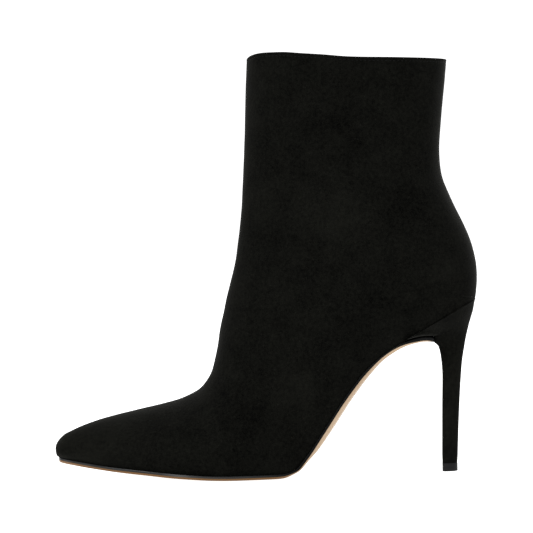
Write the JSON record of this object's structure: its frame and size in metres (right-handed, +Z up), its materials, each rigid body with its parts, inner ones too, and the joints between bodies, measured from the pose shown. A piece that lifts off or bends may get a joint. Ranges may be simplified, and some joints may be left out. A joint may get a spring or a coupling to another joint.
{
  "type": "stiletto ankle bootie",
  "caption": "Left black suede ankle bootie with a pointed toe, straight shaft, slim covered stiletto heel and bevelled leather sole.",
  "frame": {"origin": "on the floor, in the middle of the boot's length and width", "axes": "+X from the toe to the heel, +Y towards the inner side of the foot, +Z up"},
  "size_m": [0.249, 0.0793, 0.2458],
  "materials": {
    "suede": "matte black suede with a short nap",
    "heel_suede": "matte black suede",
    "sole_leather": "smooth tan leather with a gloss black edge",
    "sock_leather": "smooth beige leather",
    "top_piece_rubber": "matte black rubber"
  },
  "bodies": {
    "root": {"upper": "suede", "insole": "sock_leather", "outsole": "sole_leather", "heel": "heel_suede", "top_piece": "top_piece_rubber"}
  },
  "joints": []
}
